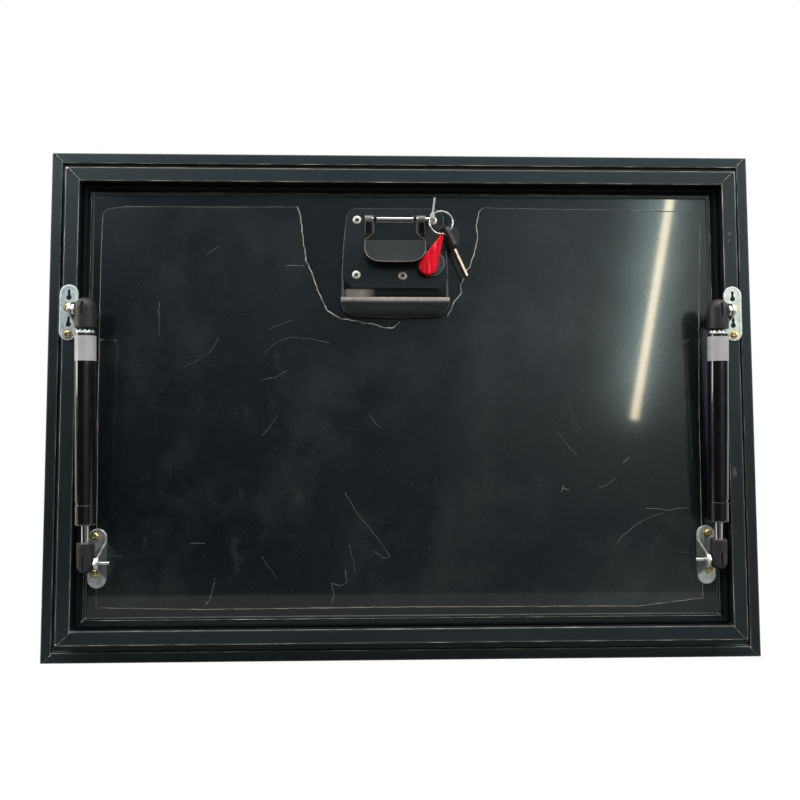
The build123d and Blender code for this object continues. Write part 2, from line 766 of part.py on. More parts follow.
with BuildPart() as cable_tie:
    tie_y = paddle_pin_y - paddle_pin_radius - running_clearance - ring_gap
    with Locations(Location(side_plane(tie_x, tie_y, paddle_pin_z))):
        Torus(tie_radius, tie_wire)
    with Locations((tie_x, tie_y - tie_radius, paddle_pin_z)):
        Box(tie_head, tie_head_depth, tie_head)
    with Locations(Location((tie_x, tie_y - tie_radius, paddle_pin_z), (0, tie_tail_lean, 0))):
        Box(
            tie_tail_width,
            tie_tail_thickness,
            tie_tail_length,
            align=(Align.CENTER, Align.CENTER, Align.MIN),
        )
save(cable_tie.part, "cable_tie")

# Drop-shaped tag on an eyelet round the ring's lowest point
with BuildPart() as key_tag:
    eyelet_z = ring_z - ring_radius - eyelet_wire
    tag_top_z = eyelet_z - eyelet_radius - tag_top_radius / 2
    with BuildSketch(front_plane(ring_x, ring_y + tag_thickness / 2, tag_top_z)):
        Circle(tag_top_radius)
        with Locations((-tag_swing, -tag_drop + tag_bottom_radius)):
            Circle(tag_bottom_radius)
        make_hull()
    extrude(amount=tag_thickness)
    fillet(key_tag.edges().group_by(Axis.Y)[0] + key_tag.edges().group_by(Axis.Y)[-1], tag_edge_radius)
    with Locations(Location(side_plane(ring_x, ring_y, eyelet_z))):
        Torus(eyelet_radius, eyelet_wire)
save(key_tag.part, "key_tag")

# Key that hangs edge-on from the ring, square to the wire
key_out = Vector(sin(radians(key_angle)), 0, -cos(radians(key_angle)))
key_across = Vector(cos(radians(key_angle)), 0, sin(radians(key_angle)))
key_hole = Vector(ring_x, ring_y, ring_z) + key_out * ring_radius
key_side = key_across * cos(radians(key_turn)) + Vector(0, sin(radians(key_turn)), 0)
with BuildPart() as edge_key:
    key_plane = Plane(origin=key_hole, x_dir=key_out, z_dir=key_side)
    bow_end = key_bow_length - key_edge_margin - key_hole_radius
    with BuildSketch(key_plane):
        with Locations((bow_end + key_blade_length / 2, 0)):
            Rectangle(key_blade_length, key_blade_width)
        notch_places = [bow_end + (index + 1) * key_notch_pitch for index in range(key_notches)]
        with Locations(*[(place, key_blade_width / 2) for place in notch_places]):
            Circle(key_notch_radius, mode=Mode.SUBTRACT)
    extrude(amount=key_thickness / 2, both=True)
    with BuildSketch(key_plane):
        with Locations((bow_end - key_bow_length / 2, 0)):
            RectangleRounded(key_bow_length, key_bow_width, key_bow_radius)
    extrude(amount=key_bow_thickness / 2, both=True)
    with BuildSketch(key_plane):
        Circle(key_hole_radius)
    extrude(amount=key_bow_thickness, both=True, mode=Mode.SUBTRACT)
save(edge_key.part, "edge_key")

# Key with a flat black bow that lies on the lock plate behind the ring
with BuildPart() as flat_key:
    with BuildSketch(front_plane(flat_key_x, lock_face - flat_key_clearance, flat_key_z)):
        RectangleRounded(flat_key_width, flat_key_height, flat_key_radius)
        with Locations((0, flat_key_height / 2 - flat_key_hole_radius - key_edge_margin)):
            Circle(flat_key_hole_radius, mode=Mode.SUBTRACT)
    extrude(amount=flat_key_thickness)
save(flat_key.part, "flat_key")

# Motion of the struts between the closed leaf and the leaf opened by a quarter turn
open_ball_y = hinge_y + lower_ball_z - hinge_z
open_ball_z = hinge_z + hinge_y - lower_ball_y
open_length = hypot(upper_ball_y - open_ball_y, upper_ball_z - open_ball_z)
closed_lean = degrees(atan2(lower_ball_y - upper_ball_y, upper_ball_z - lower_ball_z))
open_lean = degrees(atan2(open_ball_y - upper_ball_y, upper_ball_z - open_ball_z))
print(f"hinge axis y {hinge_y} z {hinge_z}, strut extends {open_length - strut_length:.4f} mm")
print(f"strut turns {90 + open_lean - closed_lean:.4f} degrees against the leaf")
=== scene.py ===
import math

import bmesh
import bpy
from mathutils import Matrix, Vector, noise


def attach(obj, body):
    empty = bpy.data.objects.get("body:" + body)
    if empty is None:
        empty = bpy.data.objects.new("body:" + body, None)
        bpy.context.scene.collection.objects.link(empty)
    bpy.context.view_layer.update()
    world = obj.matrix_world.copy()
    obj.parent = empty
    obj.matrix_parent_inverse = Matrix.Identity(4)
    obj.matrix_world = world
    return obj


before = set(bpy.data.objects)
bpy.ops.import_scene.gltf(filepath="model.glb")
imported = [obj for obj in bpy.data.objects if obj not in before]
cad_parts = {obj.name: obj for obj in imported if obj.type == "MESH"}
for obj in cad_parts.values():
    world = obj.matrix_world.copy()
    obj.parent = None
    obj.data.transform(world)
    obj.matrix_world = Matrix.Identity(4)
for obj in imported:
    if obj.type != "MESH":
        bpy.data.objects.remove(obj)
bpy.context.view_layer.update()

scene = bpy.context.scene
scene.view_settings.view_transform = "Standard"
MM = 0.001

# Without a seed, the vector noise takes its offsets from the clock
noise.seed_set(7)

# Faces and edges of the part that the pieces below sit on, in millimetres
half_width = 350
full_height = 500
flange_face = 0
groove_face = 4
barrel_face = -20
panel_face = -2.5
lock_face = -8
upper_bracket_dish = -21.6
lower_bracket_dish = -4.1
hinge_plate_face = 17.5
film_thickness = 0.12
film_face = panel_face - film_thickness


# Materials


class Look:
    """A procedural material: one Principled shader and the textures that feed it."""

    def __init__(self, name, colour, roughness, metallic=0.0, **sockets):
        self.material = bpy.data.materials.new(name)
        self.material.use_nodes = True
        self.material.diffuse_color = (*colour, 1)
        self.tree = self.material.node_tree
        self.shader = self.tree.nodes["Principled BSDF"]
        self.colour = None
        self.set("Base Color", (*colour, 1))
        self.set("Roughness", roughness)
        self.set("Metallic", metallic)
        for socket, value in sockets.items():
            self.set(socket.replace("_", " "), value)
        self.place = self.node("ShaderNodeTexCoord").outputs["Object"]

    def set(self, socket, value):
        self.shader.inputs[socket].default_value = value

    def node(self, kind, **inputs):
        made = self.tree.nodes.new(kind)
        for name, value in inputs.items():
            self.feed(made.inputs[name.replace("_", " ")], value)
        return made

    def feed(self, socket, value):
        if isinstance(value, bpy.types.NodeSocket):
            self.tree.links.new(value, socket)
        else:
            socket.default_value = value

    def noise(self, scale, detail=4.0, stretch=None, roughness=0.55):
        """Noise over the object, in features per metre, stretched along an axis if asked."""
        place = self.place
        if stretch:
            mapped = self.node("ShaderNodeMapping", Vector=place, Scale=stretch)
            place = mapped.outputs["Vector"]
        made = self.node("ShaderNodeTexNoise", Vector=place, Scale=scale, Detail=detail)
        made.inputs["Roughness"].default_value = roughness
        return made.outputs["Fac"]

    def ramp(self, factor, stops):
        made = self.node("ShaderNodeValToRGB", Fac=factor)
        elements = made.color_ramp.elements
        while len(elements) < len(stops):
            elements.new(0.5)
        for element, (position, colour) in zip(elements, stops):
            element.position = position
            element.color = (*colour, 1)
        return made.outputs["Color"]

    def level(self, factor, low, high, to_low, to_high):
        """Maps a range of the factor to another range, and holds it there."""
        made = self.node("ShaderNodeMapRange")
        self.feed(made.inputs["Value"], factor)
        for name, value in (("From Min", low), ("From Max", high), ("To Min", to_low), ("To Max", to_high)):
            made.inputs[name].default_value = value
        return made.outputs["Result"]

    def times(self, first, second):
        made = self.node("ShaderNodeMath")
        made.operation = "MULTIPLY"
        self.feed(made.inputs[0], first)
        self.feed(made.inputs[1], second)
        return made.outputs["Value"]

    def paint(self, colour, factor=None):
        """Lays a colour over what is there, where the factor says."""
        if self.colour is None or factor is None:
            self.colour = colour
        else:
            made = self.node("ShaderNodeMix")
            made.data_type = "RGBA"
            self.feed(made.inputs[0], factor)
            self.feed(made.inputs[6], self.colour)
            self.feed(made.inputs[7], colour if isinstance(colour, bpy.types.NodeSocket) else (*colour, 1))
            self.colour = made.outputs[2]
        self.feed(self.shader.inputs["Base Color"], self.colour)

    def mottle(self, dark, light, scale, low=0.3, high=0.7):
        """Two shades that drift into each other."""
        self.paint(self.ramp(self.noise(scale), [(low, dark), (high, light)]))

    def rough(self, low, high, scale):
        """Roughness that wanders between two values."""
        spread = self.level(self.noise(scale), 0.3, 0.7, low, high)
        self.feed(self.shader.inputs["Roughness"], spread)

    def grain(self, scale, strength, height, stretch=None):
        """Fine bump of this height, in metres."""
        made = self.node("ShaderNodeBump", Strength=strength, Distance=height)
        self.feed(made.inputs["Height"], self.noise(scale, 2.0, stretch))
        self.feed(self.shader.inputs["Normal"], made.outputs["Normal"])

    def edges(self, colour, width):
        """Painted highlights along edges: a lighter colour where the rounded normal leaves the face's own,
        in patches.
        """
        rounded = self.node("ShaderNodeBevel", Radius=width)
        rounded.samples = 6
        geometry = self.node("ShaderNodeNewGeometry")
        facing = self.node("ShaderNodeVectorMath")
        facing.operation = "DOT_PRODUCT"
        self.feed(facing.inputs[0], rounded.outputs["Normal"])
        self.feed(facing.inputs[1], geometry.outputs["Normal"])
        edge_lit = self.level(facing.outputs["Value"], 0.995, 0.88, 0.0, 1.0)
        patches = self.level(self.noise(60.0), 0.3, 0.7, 0.35, 1.0)
        self.paint(colour, self.times(edge_lit, patches))


cool_sheen = (0.80, 0.95, 1.0, 1)


def powder_coat(name, dark, light, edge, roughness=0.42, highlight_width=0.002):
    """Fine-grained dark coat with painted highlights along its edges, over this width, in metres."""
    look = Look(name, light, roughness, Specular_IOR_Level=0.45, Specular_Tint=cool_sheen)
    look.mottle(dark, light, 14.0)
    look.rough(roughness - 0.06, roughness + 0.08, 22.0)
    look.grain(1900.0, 0.22, 0.0002)
    look.edges(edge, highlight_width)
    return look


looks = {}
# Each coat: dark and light tone, the colour of its painted edge highlights, then roughness and highlight
# width where given
coats = {
    "frame_coat": ((0.004, 0.006, 0.0075), (0.0075, 0.0105, 0.0125), (0.32, 0.33, 0.33)),
    "leaf_rail_coat": ((0.0035, 0.005, 0.0065), (0.0065, 0.009, 0.011), (0.36, 0.37, 0.36), 0.3),
    "outer_skin_coat": ((0.006, 0.007, 0.008), (0.010, 0.011, 0.012), (0.04, 0.04, 0.04), 0.38),
    "hinge_coat": ((0.006, 0.007, 0.008), (0.012, 0.013, 0.014), (0.12, 0.12, 0.12), 0.4, 0.0011),
    "lock_coat": ((0.0055, 0.0068, 0.0076), (0.0105, 0.0125, 0.0135), (0.40, 0.37, 0.34), 0.3, 0.0013),
    "paddle_coat": ((0.005, 0.006, 0.0066), (0.0095, 0.011, 0.012), (0.40, 0.37, 0.34), 0.5, 0.0013),
}
for name, values in coats.items():
    looks[name] = powder_coat(name, *values)
looks["paddle_coat"].set("Specular IOR Level", 0.2)
looks["lock_coat"].set("Coat Weight", 0.4)
looks["lock_coat"].set("Coat Roughness", 0.13)

# Painted reflections of the bright room above: lighter colour along the hood's lip, which also reaches the
# ears, and on the left of the pocket's slope.
# Each bound is an axis, the place in metres where the painted reflection begins and the place where it is
# full.
look = looks["lock_coat"]
parts = look.node("ShaderNodeSeparateXYZ", Vector=look.place)
lip_reflection_bounds = (("Z", 0.3462, 0.3498), ("Y", -0.0160, -0.0180))
slope_reflection_bounds = (("X", -0.0280, -0.0400), ("X", -0.0605, -0.0560))
slope_reflection_bounds += (("Z", 0.3530, 0.3550), ("Z", 0.3628, 0.3612))
for bounds, colour in ((lip_reflection_bounds, (0.50, 0.43, 0.38)), (slope_reflection_bounds, (0.46, 0.40, 0.35))):
    share = look.level(look.noise(70.0), 0.25, 0.6, 0.45, 1.0)
    for axis, none, full in bounds:
        share = look.times(share, look.level(parts.outputs[axis], none, full, 0.0, 1.0))
    look.paint(colour, share)

look = Look("inner_panel_gloss", (0.005, 0.0065, 0.0075), 0.2, Specular_IOR_Level=0.3)
look.set("Specular Tint", cool_sheen)
look.set("Coat Weight", 0.8)
look.set("Coat Roughness", 0.04)
look.mottle((0.003, 0.0046, 0.0056), (0.006, 0.0082, 0.0096), 9.0)
look.rough(0.16, 0.28, 30.0)
look.grain(9.0, 0.2, 0.0015)
looks["inner_panel_gloss"] = look

# Film over the panel: clear and glossy, with cloudy handling marks and specks of dust under it
look = Look("film_plastic", (0.005, 0.006, 0.0065), 0.26, Specular_IOR_Level=0.3)
look.set("Specular Tint", cool_sheen)
look.set("Coat Weight", 0.8)
look.set("Coat Roughness", 0.05)
look.mottle((0.0035, 0.005, 0.006), (0.009, 0.0112, 0.0125), 5.0)
clouds = look.noise(8.0, 7.0, roughness=0.62)
smears = look.noise(34.0, 6.0, (1, 1, 0.45), 0.7)
dust = look.noise(900.0, 1.0)
look.paint((0.060, 0.066, 0.067), look.level(clouds, 0.48, 0.76, 0.0, 0.42))
look.paint((0.075, 0.078, 0.076), look.level(smears, 0.62, 0.8, 0.0, 0.5))
look.paint((0.16, 0.16, 0.155), look.level(dust, 0.74, 0.8, 0.0, 0.8))
look.rough(0.2, 0.34, 12.0)
look.grain(6.0, 0.16, 0.002)
looks["film_plastic"] = look

look = Look("film_edge", (0.50, 0.47, 0.42), 0.4, Coat_Weight=0.3)
look.mottle((0.18, 0.17, 0.16), (0.86, 0.80, 0.70), 160.0, 0.35, 0.65)
looks["film_edge"] = look
look = Look("film_margin", (0.26, 0.25, 0.23), 0.4)
look.mottle((0.10, 0.10, 0.095), (0.42, 0.40, 0.36), 45.0, 0.35, 0.7)
looks["film_margin"] = look

look = Look("seal_rubber", (0.002, 0.0028, 0.0036), 0.75, Specular_IOR_Level=0.2)
look.set("Specular Tint", cool_sheen)
look.mottle((0.0014, 0.002, 0.0028), (0.003, 0.004, 0.005), 40.0)
look.grain(1400.0, 0.3, 0.0002)
looks["seal_rubber"] = look

look = Look("zinc_plate", (0.50, 0.55, 0.55), 0.32, 1.0)
look.mottle((0.46, 0.52, 0.53), (0.80, 0.84, 0.81), 240.0)
look.rough(0.36, 0.55, 300.0)
look.grain(700.0, 0.12, 0.0002)
look.edges((1.0, 0.98, 0.93), 0.002)
looks["zinc_plate"] = look

look = Look("bright_steel", (0.70, 0.69, 0.67), 0.22, 1.0)
look.mottle((0.58, 0.57, 0.55), (0.80, 0.79, 0.76), 260.0)
look.rough(0.14, 0.3, 400.0)
look.edges((0.95, 0.94, 0.9), 0.0005)
looks["bright_steel"] = look

look = Look("screw_zinc", (0.86, 0.82, 0.75), 0.5, 1.0)
look.mottle((0.70, 0.66, 0.60), (0.95, 0.91, 0.84), 500.0)
look.rough(0.42, 0.58, 420.0)
# Darker colour in the cross recess: below the crown of the head and near its axis
parts = look.node("ShaderNodeSeparateXYZ", Vector=look.place)
spread = look.node("ShaderNodeCombineXYZ")
look.feed(spread.inputs["X"], parts.outputs["X"])
look.feed(spread.inputs["Y"], parts.outputs["Y"])
reach = look.node("ShaderNodeVectorMath")
reach.operation = "LENGTH"
look.feed(reach.inputs[0], spread.outputs["Vector"])
below_crown = look.level(parts.outputs["Z"], 0.00098, 0.0008, 0.0, 1.0)
near_axis = look.level(reach.outputs["Value"], 0.0030, 0.0027, 0.0, 1.0)
look.paint((0.03, 0.028, 0.026), look.times(below_crown, near_axis))
looks["screw_zinc"] = look

look = Look("yellow_zinc", (0.74, 0.56, 0.26), 0.28, 1.0)
look.mottle((0.60, 0.40, 0.14), (0.86, 0.76, 0.50), 420.0)
look.rough(0.2, 0.36, 500.0)
looks["yellow_zinc"] = look

look = Look("rod_chrome", (0.86, 0.85, 0.84), 0.06, 1.0)
look.rough(0.04, 0.1, 90.0)
look.grain(500.0, 0.03, 0.0001, stretch=(1, 1, 0.05))
looks["rod_chrome"] = look

look = Look("tube_paint", (0.004, 0.004, 0.0045), 0.16, Coat_Weight=1.0, Coat_Roughness=0.06)
look.mottle((0.003, 0.003, 0.0035), (0.006, 0.006, 0.0065), 60.0)
look.rough(0.12, 0.24, 120.0)
look.grain(600.0, 0.05, 0.0002)
looks["tube_paint"] = look

look = Look("fitting_plastic", (0.014, 0.014, 0.0145), 0.46)
look.mottle((0.010, 0.010, 0.0105), (0.022, 0.022, 0.022), 120.0)
look.grain(1700.0, 0.35, 0.0003)
look.edges((0.10, 0.10, 0.10), 0.0009)
looks["fitting_plastic"] = look

look = Look("key_brass", (0.70, 0.55, 0.33), 0.3, 1.0)
look.mottle((0.45, 0.33, 0.18), (0.86, 0.76, 0.58), 330.0)
look.rough(0.2, 0.42, 280.0)
look.edges((0.95, 0.88, 0.74), 0.0005)
looks["key_brass"] = look

look = Look("tie_plastic", (0.50, 0.53, 0.51), 0.35, Subsurface_Weight=0.2, Subsurface_Scale=0.002)
look.mottle((0.38, 0.41, 0.40), (0.62, 0.65, 0.63), 200.0)
looks["tie_plastic"] = look

look = Look("tag_red", (0.80, 0.003, 0.02), 0.25, Transmission_Weight=0.2, Coat_Weight=0.12)
look.set("Specular IOR Level", 0.25)
# The tag glows a little of its own: painted light
look.set("Emission Color", (0.9, 0.0, 0.012, 1))
look.set("Emission Strength", 0.08)
# Streaks along the tag's lean: painted light and shade of its facets, then a painted highlight on the
# brightest streaks
tag_lean = 0.44
tilted = look.node("ShaderNodeMapping", Vector=look.place, Rotation=(0, tag_lean, 0), Scale=(1, 1, 0.12))
facet_light_and_shade = look.node("ShaderNodeTexNoise", Vector=tilted.outputs["Vector"], Scale=330.0, Detail=2.0)
lit_and_shaded_reds = [(0.36, (0.50, 0.0, 0.008)), (0.5, (0.86, 0.001, 0.018)), (0.64, (1.0, 0.006, 0.03))]
look.paint(look.ramp(facet_light_and_shade.outputs["Fac"], lit_and_shaded_reds))
look.paint((1.0, 0.22, 0.24), look.level(facet_light_and_shade.outputs["Fac"], 0.66, 0.72, 0.0, 0.6))
look.grain(140.0, 0.2, 0.001)
looks["tag_red"] = look

look = Look("key_bow_plastic", (0.016, 0.017, 0.018), 0.42)
look.mottle((0.012, 0.013, 0.0135), (0.024, 0.025, 0.026), 150.0)
look.grain(1500.0, 0.3, 0.0002)
look.edges((0.12, 0.12, 0.12), 0.0007)
looks["key_bow_plastic"] = look

look = Look("label_paper", (0.62, 0.60, 0.62), 0.45, Coat_Weight=0.3)
look.mottle((0.42, 0.40, 0.42), (0.54, 0.52, 0.53), 70.0)
look.grain(2200.0, 0.1, 0.0001)
looks["label_paper"] = look

look = Look("seam_dark", (0.003, 0.003, 0.004), 0.7)
look.mottle((0.002, 0.002, 0.003), (0.006, 0.006, 0.007), 300.0)
looks["seam_dark"] = look

look = Look("scuff_grey", (0.06, 0.063, 0.066), 0.5)
look.mottle((0.022, 0.024, 0.026), (0.11, 0.115, 0.12), 190.0)
looks["scuff_grey"] = look

look = Look("bare_burr", (0.70, 0.67, 0.60), 0.38, 1.0)
look.mottle((0.42, 0.40, 0.37), (0.90, 0.86, 0.78), 700.0)
looks["bare_burr"] = look

# Thin light lines for the rounded rail edges: painted highlights in a metal-like colour
look = Look("rubbed_edge", (0.50, 0.48, 0.44), 0.4, 0.6)
look.mottle((0.22, 0.21, 0.20), (0.74, 0.70, 0.63), 55.0)
looks["rubbed_edge"] = look

look = Look("dark_nickel", (0.10, 0.105, 0.11), 0.3, 1.0)
look.mottle((0.05, 0.055, 0.06), (0.17, 0.175, 0.18), 300.0)
look.edges((0.92, 0.92, 0.88), 0.0014)
looks["dark_nickel"] = look

# The key that hangs edge-on: black moulded bow, worn brass blade from a line across its length
look = Look("edge_key_two_tone", (0.62, 0.48, 0.28), 0.32, 1.0)
look.mottle((0.40, 0.29, 0.16), (0.84, 0.74, 0.56), 330.0)
look.edges((0.95, 0.88, 0.74), 0.0005)
along = look.node("ShaderNodeVectorMath")
along.operation = "DOT_PRODUCT"
look.feed(along.inputs[0], look.place)
key_length_axis = (0.40674, 0.0, -0.91355)
blade_start, bow_end = -0.3446, -0.3452
along.inputs[1].default_value = key_length_axis
bow = look.level(along.outputs["Value"], blade_start, bow_end, 0.0, 1.0)
blacks = [(0.3, (0.012, 0.013, 0.0135)), (0.7, (0.028, 0.029, 0.030))]
look.paint(look.ramp(look.noise(150.0), blacks), bow)
look.feed(look.shader.inputs["Metallic"], look.level(bow, 0.0, 1.0, 1.0, 0.0))
looks["edge_key_two_tone"] = look

# Nodes that don't look like the rest of their slot
own_looks = {
    "cylinder_housing": "dark_nickel",
    "edge_key": "edge_key_two_tone",
    "lock_paddle": "paddle_coat",
}
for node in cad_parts.values():
    slot_name = node.data.materials[0].name.split(".")[0] if node.data.materials else ""
    slot_name = own_looks.get(node.name, slot_name)
    if slot_name in looks:
        for index in range(len(node.data.materials)):
            node.data.materials[index] = looks[slot_name].material


# Mesh helpers: sizes are in millimetres, in the part's frame


def piece(name, build, look_name, body, slot=None, smooth=True, at=None):
    """One scene piece from a bmesh in millimetres."""
    mesh = bpy.data.meshes.new(name)
    build.normal_update()
    build.to_mesh(mesh)
    build.free()
    mesh.transform(Matrix.Scale(MM, 4))
    return place(name, mesh, look_name, body, slot, smooth, at)


def place(name, mesh, look_name, body, slot=None, smooth=True, at=None):
    """One scene piece from a mesh in metres, with its material and its body; the slot argument is not used.
    """
    made = bpy.data.objects.new(name, mesh)
    scene.collection.objects.link(made)
    if not mesh.materials:
        mesh.materials.append(looks[look_name].material)
    for polygon in mesh.polygons:
        polygon.use_smooth = smooth
    if at is not None:
        made.matrix_world = at
    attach(made, body)
    return made


def lathe(build, profile, segments=28, frame_of=Matrix.Identity(4)):
    """Turns (radius, height) points about the local Z axis."""
    rings = []
    for radius, height in profile:
        if radius < 1e-6:
            rings.append([build.verts.new(frame_of @ Vector((0, 0, height)))])
            continue
        ring = []
        for step in range(segments):
            turn = 2 * math.pi * step / segments
            around = Vector((radius * math.cos(turn), radius * math.sin(turn), height))
            ring.append(build.verts.new(frame_of @ around))
        rings.append(ring)
    for first, second in zip(rings, rings[1:]):
        for step in range(segments):
            following = (step + 1) % segments
            corners = [first[step % len(first)], first[following % len(first)]]
            corners += [second[following % len(second)], second[step % len(second)]]
            unique = list(dict.fromkeys(corners))
            if len(unique) > 2:
                build.faces.new(unique)


def cord_along(build, points, radius, sides=6, closed=False):
    """Round wire along points; radius is a number or a function of the point's index."""
    count = len(points)
    rings = []
    for index, point in enumerate(points):
        before = points[index - 1] if index or closed else point
        after = points[(index + 1) % count] if index < count - 1 or closed else point
        along = (Vector(after) - Vector(before)).normalized()
        across = along.cross(Vector((0, 1, 0)))
        if across.length < 0.05:
            across = along.cross(Vector((0, 0, 1)))
        across.normalize()
        up = across.cross(along)
        reach = radius(index) if callable(radius) else radius
        ring = []
        for side in range(sides):
            turn = 2 * math.pi * side / sides
            outward = across * math.cos(turn) + up * math.sin(turn)
            ring.append(build.verts.new(Vector(point) + outward * reach))
        rings.append(ring)
    pairs = list(zip(rings, rings[1:])) + ([(rings[-1], rings[0])] if closed else [])
    for first, second in pairs:
        for side in range(sides):
            following = (side + 1) % sides
            build.faces.new((first[side], first[following], second[following], second[side]))
    if not closed:
        build.faces.new(rings[0][::-1])
        build.faces.new(rings[-1])


def uneven(least, spread, pace, row, lane):
    """A wire's radius that swells and thins from point to point."""
    return lambda index: least + spread * abs(noise.noise((index * pace, row, lane)))


def resample(points, step):
    """Points every so many millimetres along a polyline."""
    made = [Vector(points[0])]
    for first, second in zip(points, points[1:]):
        first, second = Vector(first), Vector(second)
        parts = max(1, round((second - first).length / step))
        made += [first.lerp(second, part / parts) for part in range(1, parts + 1)]
    return made


def plate(build, outline, low_y, high_y):
    """Flat plate from an (x, z) outline between two depths."""
    front = [build.verts.new((x, low_y, z)) for x, z in outline]
    back = [build.verts.new((x, high_y, z)) for x, z in outline]
    faces = [build.faces.new(front), build.faces.new(back[::-1])]
    for index in range(len(outline)):
        following = (index + 1) % len(outline)
        build.faces.new((front[following], front[index], back[index], back[following]))
    build.normal_update()
    bmesh.ops.triangulate(build, faces=faces)
    bmesh.ops.recalc_face_normals(build, faces=build.faces)


def facing(x, y, z, towards=(0, -1, 0)):
    """Matrix, in metres, that puts a local Z axis at a point and turns it this way."""
    turn = Vector(towards).to_track_quat("Z", "Y").to_matrix().to_4x4()
    return Matrix.Translation(Vector((x, y, z)) * MM) @ turn


# Screws: pan heads with a cross recess, cut once and shared


def screw_mesh(name, radius, height, look_name, washer=0.0):
    build = bmesh.new()
    sunk = -0.2
    profile = [(0, height), (radius * 0.45, height * 0.98), (radius * 0.75, height * 0.85)]
    profile += [(radius * 0.94, height * 0.55), (radius, height * 0.22), (radius, 0)]
    if washer:
        profile = [(r, h + washer) for r, h in profile]
        profile += [(radius * 1.28, washer), (radius * 1.32, washer * 0.6), (radius * 1.32, 0)]
    profile += [(radius * 0.4, sunk), (0, sunk)]
    lathe(build, profile)
    bmesh.ops.recalc_face_normals(build, faces=build.faces)
    top = height + washer
    cutter = bmesh.new()
    arm = radius * 0.6
    half = radius * 0.17
    cross_turn = 0.6
    corners = ((-arm, -half), (arm, -half), (arm, half), (-arm, half))
    for turn in (cross_turn, cross_turn + math.pi / 2):
        ring = []
        for level, size in ((top + 0.4, 1.15), (top - height * 0.62, 0.55)):
            for x, y in corners:
                place_at = Matrix.Rotation(turn, 4, "Z") @ Vector((x * size, y, level))
                ring.append(cutter.verts.new(place_at))
        for index in range(4):
            following = (index + 1) % 4
            cutter.faces.new((ring[index], ring[following], ring[4 + following], ring[4 + index]))
        cutter.faces.new(ring[0:4][::-1])
        cutter.faces.new(ring[4:8])
    bmesh.ops.recalc_face_normals(cutter, faces=cutter.faces)
    solids = []
    for label, source in (("head", build), ("cross", cutter)):
        mesh = bpy.data.meshes.new(f"{name}_{label}")
        source.to_mesh(mesh)
        source.free()
        mesh.transform(Matrix.Scale(MM, 4))
        made = bpy.data.objects.new(f"{name}_{label}", mesh)
        scene.collection.objects.link(made)
        solids.append(made)
    head, cross = solids
    cut = head.modifiers.new("cross", "BOOLEAN")
    cut.operation = "DIFFERENCE"
    cut.object = cross
    cut.use_self = True
    bpy.context.view_layer.update()
    finished = head.evaluated_get(bpy.context.evaluated_depsgraph_get())
    result = bpy.data.meshes.new_from_object(finished)
    for made in solids:
        bpy.data.objects.remove(made)
    result.name = name
    result.materials.clear()
    result.materials.append(looks[look_name].material)
    return result


lock_screw = screw_mesh("lock_screw", 4.3, 1.1, "screw_zinc")
bracket_screw = screw_mesh("bracket_screw", 3.6, 2.2, "yellow_zinc", 0.6)

lock_screw_places = ((-46.6, 431.4), (-47.3, 376.2), (-1.2, 375.6), (28.6, 431.0))
for number, (x, z) in enumerate(lock_screw_places):
    at = facing(x, lock_face, z)
    place(f"lock_screw_{number}", lock_screw, "screw_zinc", "leaf", "bright_steel", False, at)

# Rows of bracket screws: name, body, distance from the middle, depth and heights
screw_rows = (
    ("upper", "frame", 322.6, upper_bracket_dish, (341.0, 315.0)),
    ("lower", "leaf", 298.8, lower_bracket_dish, (121.5, 86.0)),
)
for side, sign in (("left", -1), ("right", 1)):
    for row, body, x, depth, heights in screw_rows:
        for number, z in enumerate(heights):
            name = f"{side}_{row}_screw_{number}"
            at = facing(sign * x, depth, z)
            place(name, bracket_screw, "yellow_zinc", body, "zinc_plate", False, at)


# Gas struts: blank label, crimped collar and two rolled beads, by their distance from the lower ball

lower_ball = Vector((301, -22, 98))
strut_axis = Vector((0, -14, 238)).normalized()
strut_front = Vector((1, 0, 0)).cross(strut_axis)
label_start, label_end = 190.3, 213.8
label_back, label_front = 9.52, 9.66
label_half_angle = 105
label_columns = 25
crimp_teeth = 12
crimp_base, crimp_valley, crimp_tip = 216.4, 217.6, 219.6
crimp_base_radius, crimp_tip_radius, crimp_bore = 8.7, 8.3, 7.1
bead_places = (37.2, 55.0)
bead_ring_radius, bead_radius = 9.35, 0.42
bead_steps = 48

